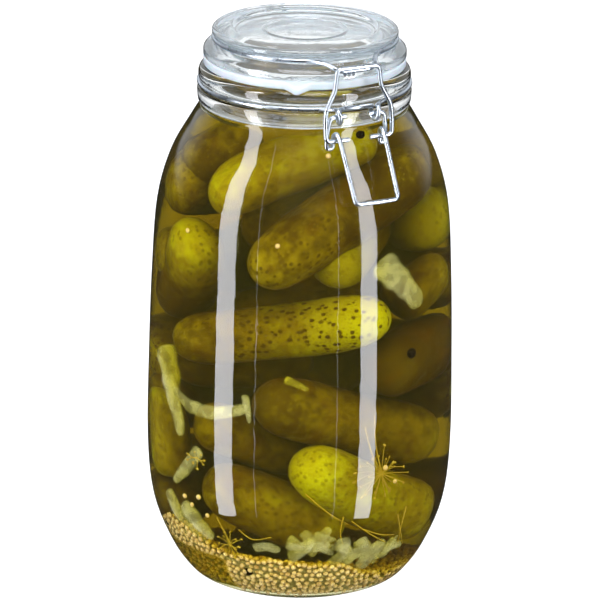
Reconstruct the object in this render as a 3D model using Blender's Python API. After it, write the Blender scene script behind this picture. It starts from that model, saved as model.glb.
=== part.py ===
"""Three-litre clip-top preserving jar, packed with gherkins over a bed of mustard seed.

The jar stands on z = 0 with its axis on +Z. The clasp faces -Y and the lid's hinge is at +Y.
Sizes are written in millimetres and become metres where a mesh is made.
"""
import math
import random

import bmesh
import bpy
from mathutils import Vector

MM = 0.001
GAP = 0.3                      # clearance between touching pieces

# ---- driving sizes of the jar -------------------------------------------------
JAR_SIDES = 36                 # facets round the turned pieces
BODY_R = 71.4                  # widest radius of the body
WALL = 4.0                     # glass wall of the body
BASE_T = 5.0                   # thickness of the base at the axis
NECK_R = 48.8                  # outside of the bare neck
MOUTH_R = 42.0                 # bore of the neck
SHOULDER_Z = 227.2             # where the shoulder meets the neck
RIM_Z = 247.2                  # flat top of the jar's rim
BEAD_R = 49.4                  # lower bead of the neck
WIRE_Z = 239.2                 # groove that holds the neck wire

# ---- driving sizes of the lid and gasket --------------------------------------
GASKET_T = 3.8
GASKET_R = 46.7
LID_BASE_Z = RIM_Z + GAP + GASKET_T + GAP
LID_TOP_Z = 265.0
LID_R = 42.9                   # top disc
LID_GROOVE_R = 40.6
LID_WIRE_Z = 260.0
FLANGE_R = 46.8

# ---- wires ---------------------------------------------------------------------
WIRE_R = 1.1
WIRE_SMOOTH = 1                # bevel steps, which give the wires six sides
NECK_WIRE_R = 48.6             # ring of wire round the neck, to its centre line
LID_WIRE_R = 42.0
HINGE_Y, HINGE_Z = 54.5, 246.5           # pin at the back that the lid turns on
PIVOT_Y, PIVOT_Z = -52.6, 236.6          # eyelets that the lever turns in
HOOK_Y, HOOK_Z = -55.3, 226.3            # lever fold that the clamp loop turns in
EYELET_X = 9.0

# ---- contents ------------------------------------------------------------------
BED_TOP = 19.0                 # level of the mustard seed away from the wall
HEEL_Z = 7.8                   # where the bed's side starts to rise along the wall
# Height of the seed at the wall, and how far it stands off the wall low down, by turn from the clasp
BED_EDGE = [(-180, 14.0), (-125, 22.0), (-90, 36.0), (-76, 32.0), (-66, 26.5), (-35, 24.5), (-8, 22.5),
            (8, 14.5), (24, 10.0), (70, 10.0), (120, 15.0), (180, 14.0)]
BED_STAND_OFF = [(-180, 0.8), (-135, 0.8), (-115, 11.0), (-68, 11.0), (-60, 0.8), (180, 0.8)]
PICKLE_SIDES = 8


# ---- helpers -------------------------------------------------------------------
def clear_scene():
    for old in list(bpy.data.objects):
        bpy.data.objects.remove(old, do_unlink=True)


def finish(name, colour, roughness, metallic=0.0, transmission=0.0):
    material = bpy.data.materials.new(name)
    material.use_nodes = True
    shader = material.node_tree.nodes["Principled BSDF"]
    shader.inputs["Base Color"].default_value = (*colour, 1.0)
    shader.inputs["Roughness"].default_value = roughness
    shader.inputs["Metallic"].default_value = metallic
    shader.inputs["Transmission Weight"].default_value = transmission
    material.diffuse_color = (*colour, 1.0)
    return material


def place(name, mesh, material):
    item = bpy.data.objects.new(name, mesh)
    bpy.context.scene.collection.objects.link(item)
    mesh.materials.append(material)
    return item


def curve_through(knots, steps):
    """Catmull-Rom curve through knots, with steps points from each knot to the next."""
    knots = [Vector(k) for k in knots]
    points = []
    for i in range(len(knots) - 1):
        before = knots[max(i - 1, 0)]
        start = knots[i]
        end = knots[i + 1]
        after = knots[min(i + 2, len(knots) - 1)]
        for s in range(steps):
            t = s / steps
            points.append(0.5 * ((2 * start) + (end - before) * t
                                 + (2 * before - 5 * start + 4 * end - after) * t * t
                                 + (3 * start - before - 3 * end + after) * t ** 3))
    points.append(knots[-1])
    return points


def turned(name, outline, material, sides=JAR_SIDES):
    """Turn a closed outline of (radius, height), in mm, about Z. Radius 0 becomes a pole."""
    shell = bmesh.new()
    rings = []
    for radius, height in outline:
        if radius < 0.01:
            rings.append([shell.verts.new((0.0, 0.0, height * MM))])
            continue
        ring = []
        for k in range(sides):
            angle = 2.0 * math.pi * k / sides
            ring.append(shell.verts.new((radius * math.cos(angle) * MM,
                                         radius * math.sin(angle) * MM, height * MM)))
        rings.append(ring)
    closed = len(rings[0]) > 1
    pairs = list(zip(rings, rings[1:])) + ([(rings[-1], rings[0])] if closed else [])
    for low, high in pairs:
        for k in range(sides):
            n = (k + 1) % sides
            corners = [low[k % len(low)], low[n % len(low)], high[n % len(high)], high[k % len(high)]]
            corners = list(dict.fromkeys(corners))
            if len(corners) > 2:
                shell.faces.new(corners)
    bmesh.ops.recalc_face_normals(shell, faces=shell.faces)
    mesh = bpy.data.meshes.new(name)
    shell.to_mesh(mesh)
    shell.free()
    mesh.shade_smooth()
    mesh.set_sharp_from_angle(angle=math.radians(35))
    return place(name, mesh, material)


def rounded(corners, bend, steps=3):
    """Route through corners with each inner corner bent to about the given radius, in mm."""
    corners = [Vector(c) for c in corners]
    route = [corners[0]]
    for before, corner, after in zip(corners, corners[1:], corners[2:]):
        back = (before - corner)
        ahead = (after - corner)
        reach = min(bend, 0.45 * back.length, 0.45 * ahead.length)
        start = corner + back.normalized() * reach
        end = corner + ahead.normalized() * reach
        for s in range(steps + 1):
            t = s / steps
            route.append((1 - t) ** 2 * start + 2 * t * (1 - t) * corner + t * t * end)
    route.append(corners[-1])
    return route


def wire(name, route, material, closed=False, radius=WIRE_R):
    curve = bpy.data.curves.new(name, "CURVE")
    curve.dimensions = "3D"
    curve.bevel_depth = radius * MM
    curve.bevel_resolution = WIRE_SMOOTH
    curve.use_fill_caps = not closed
    spline = curve.splines.new("POLY")
    spline.points.add(len(route) - 1)
    for point, spot in zip(spline.points, route):
        point.co = (*(Vector(spot) * MM), 1.0)
    spline.use_cyclic_u = closed
    spline.use_smooth = True
    curve.materials.append(material)
    item = bpy.data.objects.new(name, curve)
    bpy.context.scene.collection.objects.link(item)
    return item


def mirrored(route):
    """The same route on the other side of the clasp's middle plane, run backwards."""
    return [Vector((-p.x, p.y, p.z)) for p in reversed([Vector(q) for q in route])]


def on_ring(radius, height, turn):
    """Point on a ring; turn is in degrees from the clasp at -Y towards +X."""
    angle = math.radians(turn)
    return Vector((radius * math.sin(angle), -radius * math.cos(angle), height))


# ---- jar glass -----------------------------------------------------------------
# Outside of the body from the heel to the neck: (radius, height)
BODY_KNOTS = [(43.2, 0.0), (47.6, 1.6), (52.6, 5.0), (60.6, 17.0), (68.6, 38.0), (BODY_R, 66.0),
              (71.0, 110.0), (69.8, 150.0), (67.6, 182.0), (61.7, 204.0), (53.1, 220.0),
              (NECK_R, SHOULDER_Z)]


def body_outline(steps=2):
    return [(p.x, p.y) for p in curve_through([(r, z, 0.0) for r, z in BODY_KNOTS], steps)]


def bore_radius(height):
    """Inside radius of the jar at a height, measured square to the outer wall."""
    outside = body_outline(steps=8)
    inside = []
    for (r0, z0), (r1, z1) in zip(outside, outside[1:]):
        length = math.hypot(r1 - r0, z1 - z0)
        inside.append(((r0 + r1) / 2 - WALL * (z1 - z0) / length,
                       (z0 + z1) / 2 + WALL * (r1 - r0) / length))
    for (r0, z0), (r1, z1) in zip(inside, inside[1:]):
        if z0 <= height <= z1:
            return r0 + (r1 - r0) * (height - z0) / (z1 - z0)
    return inside[0][0] if height < inside[0][1] else MOUTH_R


def make_jar(glass):
    foot = [(0.0, 0.0), (24.0, 0.0), (27.0, 0.8), (35.0, 0.8), (38.0, 0.0)]
    neck = [(48.0, 229.4), (49.0, 230.8), (BEAD_R, 233.5), (BEAD_R, 236.2), (48.6, 237.3),
            (47.1, WIRE_Z - 1.4), (47.1, WIRE_Z + 1.4), (48.6, WIRE_Z + 1.8), (49.0, 243.0), (48.7, 245.0),
            (47.6, 246.5), (46.0, RIM_Z), (43.4, RIM_Z), (MOUTH_R, 246.0)]
    inside = [(MOUTH_R, 229.0), (44.4, 224.6)]
    for height in (218.0, 210.0, 200.0, 186.0, 168.0, 110.0, 70.0, 45.0, 30.0, 20.0, 13.0):
        inside.append((bore_radius(height), height))
    inside += [(46.0, BASE_T + 1.4), (38.0, BASE_T + 0.2), (0.0, BASE_T)]
    return turned("jar_glass", foot + body_outline() + neck + inside, glass)


# ---- lid -----------------------------------------------------------------------
def make_lid(glass):
    top = LID_TOP_Z
    outline = [(0.0, top - 1.4), (17.6, top - 1.4), (18.7, top - 0.7), (19.8, top - 1.4),
               (31.6, top - 1.4), (33.6, top), (41.4, top), (LID_R, top - 1.2), (LID_R, top - 2.8),
               (41.8, 261.6), (LID_GROOVE_R, 261.4), (LID_GROOVE_R, 258.5), (45.0, 256.9),
               (FLANGE_R, 255.2), (FLANGE_R, LID_BASE_Z + 0.5), (46.2, LID_BASE_Z),
               (40.4, LID_BASE_Z), (40.2, 245.4), (38.8, 244.4), (37.2, 245.4), (35.6, 253.0),
               (31.0, 256.4), (0.0, 257.6)]
    return turned("lid_glass", outline, glass)


def make_gasket(rubber):
    low = RIM_Z + GAP
    high = low + GASKET_T
    outline = [(41.2, low), (45.9, low), (GASKET_R, low + 0.8), (GASKET_R, high - 0.8),
               (45.9, high), (41.2, high)]
    ring = turned("gasket", outline, rubber)
    tab_turn = 3                # facets from the clasp to the pull tab, towards -X
    front = int(JAR_SIDES * 0.75)
    tab = front - tab_turn
    for vertex in ring.data.vertices:
        row, column = divmod(vertex.index, JAR_SIDES)
        if column == tab and row in (1, 2):
            out = Vector((vertex.co.x, vertex.co.y, 0.0)).normalized()
            vertex.co += out * (3.0 if row == 1 else 4.2) * MM
            vertex.co.z -= (0.0 if row == 1 else 1.6) * MM
    return ring


# ---- wires ---------------------------------------------------------------------
def eyelet_turn(steps=12):
    """One turn of wire hanging under the ring, in which the lever's end sits."""
    deep, tall = 2.7, 3.1
    spread = 1.35
    loop = []
    for s in range(steps + 1):
        angle = 2.0 * math.pi * s / steps
        loop.append(Vector((EYELET_X + spread - 2 * spread * s / steps,
                            PIVOT_Y - deep * math.sin(angle),
                            PIVOT_Z + 0.3 + tall * math.cos(angle))))
    return loop


def make_neck_wire(steel):
    side = [on_ring(NECK_WIRE_R, WIRE_Z, turn) for turn in range(160, 19, -8)]
    back = rounded([(12.0, HINGE_Y, HINGE_Z), (14.6, HINGE_Y, HINGE_Z), (15.2, 53.6, 241.6),
                    (16.0, 49.4, WIRE_Z), side[0]], 2.4)
    bridge = [Vector((5.2, -50.0, WIRE_Z + 0.2)), Vector((0.0, -50.4, WIRE_Z + 0.2))]
    half = back[:-1] + side + eyelet_turn() + bridge
    return wire("neck_wire", half + mirrored(half)[1:], steel, closed=True)


def make_lid_wire(steel):
    curl_r = 2 * WIRE_R + 0.35
    curl = []
    for angle in range(60, -181, -24):
        turn = math.radians(angle)
        curl.append(Vector((9.0, HINGE_Y + curl_r * math.cos(turn), HINGE_Z + curl_r * math.sin(turn))))
    leg = rounded([curl[-1], (9.0, 51.6, 257.0), (9.0, 46.5, 260.9), on_ring(LID_WIRE_R, LID_WIRE_Z, 166)],
                  3.0)
    side = [on_ring(LID_WIRE_R, LID_WIRE_Z, turn) for turn in range(158, 21, -8)]
    arm = rounded([side[-1], (12.6, -45.2, 260.2), (10.2, -49.4, 258.6), (7.4, -51.0, 257.2),
                   (0.0, -51.0, 257.2)], 2.6)
    half = curl[:-1] + leg + side[:-1] + arm
    return wire("lid_wire", half + mirrored(half)[1:], steel)


def make_clamp_loop(steel):
    half = rounded([(5.4, HOOK_Y, HOOK_Z), (16.6, HOOK_Y, HOOK_Z), (16.9, -54.6, 233.0),
                    (16.4, -54.0, 240.6), (11.6, -53.4, 249.4), (11.0, -53.1, 254.0),
                    (10.4, -53.0, 259.0), (0.0, -53.0, 259.0)], 2.4)
    return wire("clamp_loop", half + mirrored(half)[1:], steel)


def make_lever(steel):
    half = rounded([(5.8, PIVOT_Y, PIVOT_Z), (13.6, PIVOT_Y, PIVOT_Z), (15.0, -52.3, 228.0),
                    (14.9, -52.3, 222.2), (12.0, -52.3, 222.2), (11.9, -52.6, 227.8), (11.6, -55.3, 229.9),
                    (11.3, -58.5, 227.0), (10.8, -74.0, 201.6), (0.0, -74.2, 201.4)], 2.2)
    return wire("lever", half + mirrored(half)[1:], steel)


# ---- contents ------------------------------------------------------------------
# Gherkins at the front, against the wall: one end, the other end, radius
SEEN = [((-40, 12, 199), (-22, 6, 209), 11.5), ((-43, -15, 193), (12, -22, 211), 12.8),
        ((-34, -37, 165), (35, -27, 198), 14.0), ((-50, -1, 168), (-40, 20, 136), 13.5),
        ((-3, -38, 162), (24, 4, 170), 11.5), ((-53, -2, 122), (8, -51, 139), 12.8),
        ((30, -27, 140), (44, -23, 148), 11.5), ((20, -44, 112), (44, -20, 112), 15.5),
        ((-32, -40, 100), (37, -29, 71), 14.6), ((-47, -14, 84), (-14, -20, 70), 12.2),
        ((-18, -49, 70), (35, -35, 38), 14.2), ((-46, -21, 56), (-7, -36, 38), 14.0),
        ((-52, 17, 86), (-52, 12, 58), 11.5), ((-40, 12, 107), (-8, -10, 113), 12.0),
        ((42, -16, 172), (46, 20, 162), 12.0)]
# Gherkins at the back lie in tiers against the wall: (height, turn from the clasp, lean)
TIERS = [(42, 145, 12), (44, -150, -10), (74, 128, -22), (80, -150, 14), (110, 130, 18), (112, -160, -16),
         (142, 128, 12), (150, -150, 16), (180, 142, -12), (184, -150, 12)]
TIER_R = 13.0
TIER_HALF = 34.0


def tier_ends(height, turn, lean):
    """Ends of a gherkin lying as a chord against the wall."""
    reach = bore_radius(height) - TIER_R - 2.0
    inset = math.sqrt(reach ** 2 - TIER_HALF ** 2)
    angle = math.radians(turn)
    out = Vector((math.sin(angle), -math.cos(angle), 0.0))
    along = Vector((math.cos(angle), math.sin(angle), 0.0))
    centre = out * inset + Vector((0.0, 0.0, height))
    rise = Vector((0.0, 0.0, lean / 2.0))
    return centre - along * TIER_HALF - rise, centre + along * TIER_HALF + rise


def gherkin(start, end, radius):
    """A blunt, slightly bowed capsule as one closed mesh, in mm."""
    start, end = Vector(start), Vector(end)
    axis = end - start
    across = axis.to_track_quat("Z", "Y")
    profile = [(0.0, -0.62), (0.62, -0.40), (0.92, 0.05), (1.0, 0.9), (1.0, None), (0.92, -0.05),
               (0.62, 0.40), (0.0, 0.62)]
    length = axis.length
    stations = []
    for k, (width, step) in enumerate(profile):
        if step is None:
            along = length / 2
        elif k < 4:
            along = step * radius
        else:
            along = length + step * radius
        stations.append((width, along))
    stations[3] = (1.0, length * 0.25)
    stations[4] = (1.0, length * 0.72)
    shell = bmesh.new()
    rings = []
    for width, along in stations:
        centre = start + axis.normalized() * along
        if width == 0.0:
            rings.append([shell.verts.new(centre * MM)])
            continue
        ring = []
        for k in range(PICKLE_SIDES):
            angle = 2.0 * math.pi * k / PICKLE_SIDES
            spoke = across @ Vector((math.cos(angle), math.sin(angle), 0.0))
            ring.append(shell.verts.new((centre + spoke * radius * width) * MM))
        rings.append(ring)
    for low, high in zip(rings, rings[1:]):
        for k in range(PICKLE_SIDES):
            n = (k + 1) % PICKLE_SIDES
            corners = [low[k % len(low)], low[n % len(low)], high[n % len(high)], high[k % len(high)]]
            shell.faces.new(list(dict.fromkeys(corners)))
    bmesh.ops.recalc_face_normals(shell, faces=shell.faces)
    mesh = bpy.data.meshes.new("gherkin")
    shell.to_mesh(mesh)
    shell.free()
    return mesh


def make_pickles(skin):
    core = turned("pickle_heap", [(0.0, 32.0), (26.0, 34.0), (32.0, 60.0), (33.0, 150.0), (28.0, 196.0),
                                  (0.0, 204.0)], skin, sides=12)
    parts = bpy.data.collections.new("gherkins to join")
    bpy.context.scene.collection.children.link(parts)
    ends = [(a, b, r) for a, b, r in SEEN] + [(*tier_ends(*tier), TIER_R) for tier in TIERS]
    for start, end, radius in ends:
        item = bpy.data.objects.new("gherkin", gherkin(start, end, radius))
        parts.objects.link(item)
    joined = core.modifiers.new("join", "BOOLEAN")
    joined.operation = "UNION"
    joined.operand_type = "COLLECTION"
    joined.collection = parts
    joined.solver = "EXACT"
    bpy.context.view_layer.update()
    whole = bpy.data.meshes.new_from_object(core.evaluated_get(bpy.context.evaluated_depsgraph_get()))
    core.modifiers.clear()
    core.data = whole
    core.data.name = "pickle_heap"
    for item in list(parts.objects):
        bpy.data.objects.remove(item, do_unlink=True)
    bpy.data.collections.remove(parts)
    if not core.data.materials:
        core.data.materials.append(skin)
    return core


def between(table, turn):
    """Value at a turn, read from (turn, value) pairs that go once round."""
    for (low, first), (high, second) in zip(table, table[1:]):
        if low <= turn <= high:
            return first + (second - first) * (turn - low) / (high - low)
    return table[-1][1]


def bed_height(radius, turn, noise):
    """Top of the seed bed: level inside, then up or down to its edge at the wall."""
    near_wall = min(1.0, max(0.0, (radius - 24.0) / 32.0))
    return BED_TOP + (between(BED_EDGE, turn) - BED_TOP) * near_wall + noise * (1.0 - 0.5 * near_wall)


def heel_radius(height):
    """Inside radius of the jar down to the foot of its bore, where the wall rounds into the base."""
    foot = 13.0
    if height > foot:
        return bore_radius(height)
    return 46.0 + (bore_radius(foot) - 46.0) * (height - BASE_T - 1.4) / (foot - BASE_T - 1.4)


def make_seeds(seed_skin):
    """Bed of mustard seed on the jar's floor, with a bumpy top."""
    draw = random.Random(7)
    sides = 30
    shell = bmesh.new()
    floor = BASE_T + GAP + 0.2
    rings = [[(34.0, floor)] * sides, [(42.0, BASE_T + 1.6)] * sides]
    for share in (0.1, 0.62, 1.0):
        ring = []
        for k in range(sides):
            turn = 360.0 * k / sides - 180.0
            z = HEEL_Z + (bed_height(58.6, turn, draw.uniform(-0.7, 0.7)) - HEEL_Z) * share
            off = between(BED_STAND_OFF, turn) if share < 0.9 else 0.9
            ring.append((heel_radius(z) - off, z))
        rings.append(ring)
    for radius in (52.0, 42.0, 28.0, 14.0):
        ring = []
        for k in range(sides):
            turn = 360.0 * k / sides - 180.0
            ring.append((min(radius, rings[-1][k][0] - 1.0), bed_height(radius, turn, draw.uniform(-0.9, 0.9))))
        rings.append(ring)
    layers = []
    for ring in rings:
        layer = []
        for k, (radius, height) in enumerate(ring):
            turn = 360.0 * k / sides - 180.0
            layer.append(shell.verts.new(on_ring(radius, height, turn) * MM))
        layers.append(layer)
    for low, high in zip(layers, layers[1:]):
        for k in range(sides):
            n = (k + 1) % sides
            shell.faces.new((low[k], low[n], high[n], high[k]))
    bottom = shell.verts.new((0.0, 0.0, floor * MM))
    crown = shell.verts.new((0.0, 0.0, BED_TOP * MM))
    for k in range(sides):
        n = (k + 1) % sides
        shell.faces.new((layers[0][n], layers[0][k], bottom))
        shell.faces.new((layers[-1][k], layers[-1][n], crown))
    bmesh.ops.recalc_face_normals(shell, faces=shell.faces)
    mesh = bpy.data.meshes.new("mustard_seeds")
    shell.to_mesh(mesh)
    shell.free()
    return place("mustard_seeds", mesh, seed_skin)


def main():
    clear_scene()
    glass = finish("glass", (0.86, 0.92, 0.92), 0.02, transmission=1.0)
    rubber = finish("gasket_rubber", (0.86, 0.88, 0.90), 0.45)
    steel = finish("zinc_plated_wire", (0.78, 0.82, 0.86), 0.22, metallic=1.0)
    skin = finish("gherkin_skin", (0.22, 0.24, 0.02), 0.45)
    seed_skin = finish("mustard_seed", (0.62, 0.48, 0.24), 0.5)
    make_jar(glass)
    make_lid(glass)
    make_gasket(rubber)
    make_neck_wire(steel)
    make_lid_wire(steel)
    make_clamp_loop(steel)
    make_lever(steel)
    make_pickles(skin)
    make_seeds(seed_skin)


main()
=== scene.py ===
"""A three-litre clip-top preserving jar packed with gherkins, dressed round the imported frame.

Sizes are in millimetres and become metres where a mesh is made. The jar's axis is +Z, the clasp
faces -Y, and a turn is an angle in degrees from the clasp towards +X.
"""
import math
import random

import bpy
import numpy as np
from mathutils import Matrix, Vector, noise


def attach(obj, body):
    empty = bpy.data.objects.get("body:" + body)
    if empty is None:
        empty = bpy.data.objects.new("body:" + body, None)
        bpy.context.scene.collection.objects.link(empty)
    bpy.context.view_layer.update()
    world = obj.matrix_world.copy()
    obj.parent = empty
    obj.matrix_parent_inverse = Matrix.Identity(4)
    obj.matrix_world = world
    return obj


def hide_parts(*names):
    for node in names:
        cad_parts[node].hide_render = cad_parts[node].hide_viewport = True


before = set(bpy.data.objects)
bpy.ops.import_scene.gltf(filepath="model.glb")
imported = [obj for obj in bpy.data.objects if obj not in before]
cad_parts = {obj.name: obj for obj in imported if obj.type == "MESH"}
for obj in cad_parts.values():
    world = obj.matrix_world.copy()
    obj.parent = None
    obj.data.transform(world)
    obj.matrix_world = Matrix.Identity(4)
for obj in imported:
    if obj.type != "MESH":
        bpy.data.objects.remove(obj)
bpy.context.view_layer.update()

# ---- The jar ---------------------------------------------------------------------------
# One piece of clear soda-lime glass blown in a mould: a thick base with a shallow groove, a
# wall 4 mm thick, round shoulders, and a beaded neck whose groove holds the wire ring.
MM = 0.001
WALL = 4.0
BASE_T = 5.0
FOOT_R = 43.0                  # the flat, stippled underside reaches this far out
MOUTH_R = 42.0
RIM_Z = 247.2
WIRE_Z = 239.2
BRINE_Z = 229.5                # how far up it is filled
JAR_FACETS = 168
GLASS_TINT = (0.955, 0.972, 0.972)
GLASS_IOR = 1.5
BRINE_IOR = 1.333
BODY_KNOTS = [(43.2, 0.0), (47.6, 1.6), (52.6, 5.0), (60.6, 17.0), (68.6, 38.0), (71.4, 66.0),
              (71.0, 110.0), (69.8, 150.0), (67.6, 182.0), (61.7, 204.0), (53.1, 220.0), (48.8, 227.2)]
UNDERSIDE = [(0.0, 0.0), (24.0, 0.0)]
FOOT_KNOTS = [(27.0, 0.8), (35.0, 0.8), (38.0, 0.0)]
NECK_KNOTS = [(48.0, 229.4), (49.0, 230.8), (49.4, 233.5), (49.4, 236.2), (48.6, 237.3),
              (47.1, WIRE_Z - 1.4), (47.1, WIRE_Z + 1.4), (48.6, WIRE_Z + 1.8), (49.0, 243.0),
              (48.7, 245.0), (47.6, 246.5), (46.0, RIM_Z), (43.4, RIM_Z), (MOUTH_R, 246.0),
              (MOUTH_R, 238.0), (MOUTH_R, 229.0), (44.4, 224.6)]
BORE_HEIGHTS = (218.0, 210.0, 200.0, 186.0, 168.0, 145.0, 110.0, 70.0, 45.0, 30.0, 20.0, 13.0)
FLOOR_KNOTS = [(46.0, BASE_T + 1.4), (38.0, BASE_T + 0.2), (20.0, BASE_T)]


def smooth_line(knots, steps):
    """Catmull-Rom line through knots of two or three numbers, with steps points for each span."""
    knots = [Vector(k) for k in knots]
    line = []
    for i, (start, end) in enumerate(zip(knots, knots[1:])):
        before = knots[max(i - 1, 0)]
        after = knots[min(i + 2, len(knots) - 1)]
        for s in range(steps):
            t = s / steps
            line.append(0.5 * (2 * start + (end - before) * t
                               + (2 * before - 5 * start + 4 * end - after) * t * t
                               + (3 * start - before - 3 * end + after) * t ** 3))
    return line + [knots[-1]]


def bore_line():
    """Inside of the wall as (radius, height) points, square to the outside by its thickness."""
    outside = smooth_line(BODY_KNOTS, 8)
    inside = []
    for low, high in zip(outside, outside[1:]):
        along = (high - low).normalized()
        inside.append((low + high) / 2 + WALL * Vector((-along.y, along.x)))
    return inside


BORE_R, BORE_Z = np.array(bore_line()).T


def bore_radius(height):
    return float(np.interp(height, BORE_Z, BORE_R, right=MOUTH_R))


def inside_line(steps):
    """The jar's inside from the bore's top down to the floor's middle."""
    knots = NECK_KNOTS[-3:] + [(bore_radius(z), z) for z in BORE_HEIGHTS] + FLOOR_KNOTS
    return smooth_line(knots, steps)


def placed(name, data):
    """A new object in the scene."""
    item = bpy.data.objects.new(name, data)
    bpy.context.scene.collection.objects.link(item)
    return item


def mesh_of(name, points, edges=(), faces=()):
    """A mesh on points in millimetres."""
    mesh = bpy.data.meshes.new(name)
    mesh.from_pydata([tuple(Vector(p) * MM) for p in points], edges, faces)
    return mesh


def new_piece(name, vertices, faces, material):
    """A shaded-smooth mesh object with vertices in millimetres."""
    mesh = mesh_of(name, vertices, faces=faces)
    mesh.validate()
    mesh.shade_smooth()
    mesh.materials.append(material)
    return placed(name, mesh)


def turned(name, outline, material):
    """Turn (radius, height) points about the axis. The outline starts and ends on the axis,
    or closes on itself."""
    vertices, rings = [], []
    for radius, height in outline:
        count = JAR_FACETS if radius > 0.01 else 1
        rings.append([len(vertices) + k for k in range(count)])
        for k in range(count):
            angle = 2 * math.pi * k / JAR_FACETS
            vertices.append((radius * math.cos(angle), radius * math.sin(angle), height))
    pairs = list(zip(rings, rings[1:]))
    if len(rings[0]) > 1:
        pairs.append((rings[-1], rings[0]))
    faces = []
    for low, high in pairs:
        for k in range(JAR_FACETS):
            n = (k + 1) % JAR_FACETS
            corners = [low[k % len(low)], low[n % len(low)], high[n % len(high)], high[k % len(high)]]
            faces.append(list(dict.fromkeys(corners)))
    return new_piece(name, vertices, faces, material)


def chain(*sockets):
    """Link an output to the next input, pair by pair."""
    for start, end in zip(sockets[::2], sockets[1::2]):
        end.id_data.links.new(start, end)


def plug(socket, value):
    """Link an output to an input, or set the input. A colour is three numbers."""
    if isinstance(value, bpy.types.NodeSocket):
        socket.id_data.links.new(value, socket)
    else:
        socket.default_value = (*value, 1.0) if socket.type == "RGBA" else value


def set_inputs(node, **values):
    """Link or set a node's inputs by name, with _ for a space."""
    for name, value in values.items():
        plug(node.inputs[name.replace("_", " ")], value)
    return node


def add_node(tree, kind, settings=None, **values):
    node = tree.nodes.new(kind)
    for name, value in (settings or {}).items():
        setattr(node, name, value)
    return set_inputs(node, **values)


def maths(operation, first, second):
    """Two numbers made into one. The first is a socket of the tree that this belongs to."""
    node = add_node(first.id_data, "ShaderNodeMath", {"operation": operation})
    plug(node.inputs[0], first)
    plug(node.inputs[1], second)
    return node.outputs[0]


def own(tree, name, output="Fac"):
    """What a point of the piece was given under a name."""
    return add_node(tree, "ShaderNodeAttribute", {"attribute_name": name}).outputs[output]


def pattern(tree, kind, scale, **values):
    """A texture fixed to the piece: blotches of noise, or how far a point is from the middle of
    its cell."""
    place = add_node(tree, "ShaderNodeTexCoord").outputs["Object"]
    node = add_node(tree, "ShaderNodeTex" + kind, Vector=place, Scale=scale, **values)
    return node.outputs["Distance" if kind == "Voronoi" else 0]


def bumped(height, strength, depth, invert=False):
    """Normals that show a height as relief, its depth in millimetres."""
    node = add_node(height.id_data, "ShaderNodeBump", {"invert": invert}, Height=height, Strength=strength,
                    Distance=depth * MM)
    return node.outputs[0]


def finish(name, **values):
    """A material with one Principled shader. Returns the material, its tree and the shader."""
    material = bpy.data.materials.new(name)
    material.use_nodes = True
    tree = material.node_tree
    shader = tree.nodes["Principled BSDF"]
    set_inputs(shader, **values)
    return material, tree, shader


def see_through(name, tint, ior, soak=None, density=0.0, cloud=0.0, bends_at=None, roughness=0.0,
                clear=1.0):
    """A clear body: it bends what is seen through it, lets the lamps' light straight in to what
    it holds, takes up light with its thickness, and scatters it where it is cloudy. Where
    bends_at names a point attribute, it bends and mirrors light only where that is 1."""
    material, tree, shader = finish(name, Base_Color=tint, Roughness=roughness, IOR=ior,
                                    Transmission_Weight=clear)
    path = add_node(tree, "ShaderNodeLightPath")
    lit = maths("MAXIMUM", path.outputs["Is Shadow Ray"], path.outputs["Is Diffuse Ray"])
    if bends_at:
        lit = maths("MAXIMUM", lit, maths("LESS_THAN", own(tree, bends_at), 0.5))
    straight = add_node(tree, "ShaderNodeBsdfTransparent", Color=tint)
    both = add_node(tree, "ShaderNodeMixShader")
    out = tree.nodes["Material Output"]
    chain(lit, both.inputs[0], shader.outputs[0], both.inputs[1], straight.outputs[0], both.inputs[2],
          both.outputs[0], out.inputs["Surface"])
    if density:
        body = add_node(tree, "ShaderNodeVolumeAbsorption", Color=soak, Density=density)
        if cloud:
            haze = add_node(tree, "ShaderNodeVolumeScatter", Color=(1.0, 0.97, 0.8), Density=cloud,
                            Anisotropy=0.3)
            together = add_node(tree, "ShaderNodeAddShader")
            chain(body.outputs[0], together.inputs[0], haze.outputs[0], together.inputs[1])
            body = together
        chain(body.outputs[0], out.inputs["Volume"])
    return material, tree, shader


def ripple(tree, shader, size, depth):
    """Slight waves in moulded glass, size and depth in millimetres."""
    waves = pattern(tree, "Noise", 1000 / size, Detail=1.0)
    pits = pattern(tree, "Noise", 8000 / size, Detail=0.0)
    set_inputs(shader, Normal=bumped(maths("ADD", waves, maths("MULTIPLY", pits, 0.34)), 1.0, depth))


jar_material, tree, shader = see_through("jar glass", GLASS_TINT, GLASS_IOR)
ripple(tree, shader, 22.0, 0.05)
wetted_material, *_ = see_through("jar glass against brine", GLASS_TINT, GLASS_IOR / BRINE_IOR)
foot_material, *_ = see_through("stippled glass foot", (0.94, 0.95, 0.96), 1.3, roughness=0.5)
outline = UNDERSIDE + [tuple(p) for p in smooth_line(FOOT_KNOTS, 4)]
outline += [tuple(p) for p in smooth_line(BODY_KNOTS + NECK_KNOTS, 5)][:-1]
# The neck's last knots are in both lines, so the inside goes on after them
outline += [tuple(p) for p in inside_line(5)][11:] + [(0.0, BASE_T)]
jar = turned("clear_glass_jar", outline, jar_material)
jar.data.materials.append(wetted_material)
jar.data.materials.append(foot_material)
for face in jar.data.polygons:
    spot = face.center / MM
    flat = spot.xy.length
    if spot.z < 1.0 and flat < FOOT_R:
        face.material_index = 2
    if BASE_T - 0.5 < spot.z < BRINE_Z and flat < bore_radius(spot.z) + 1.0:
        face.material_index = 1
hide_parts("jar_glass")
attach(jar, "jar")

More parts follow.
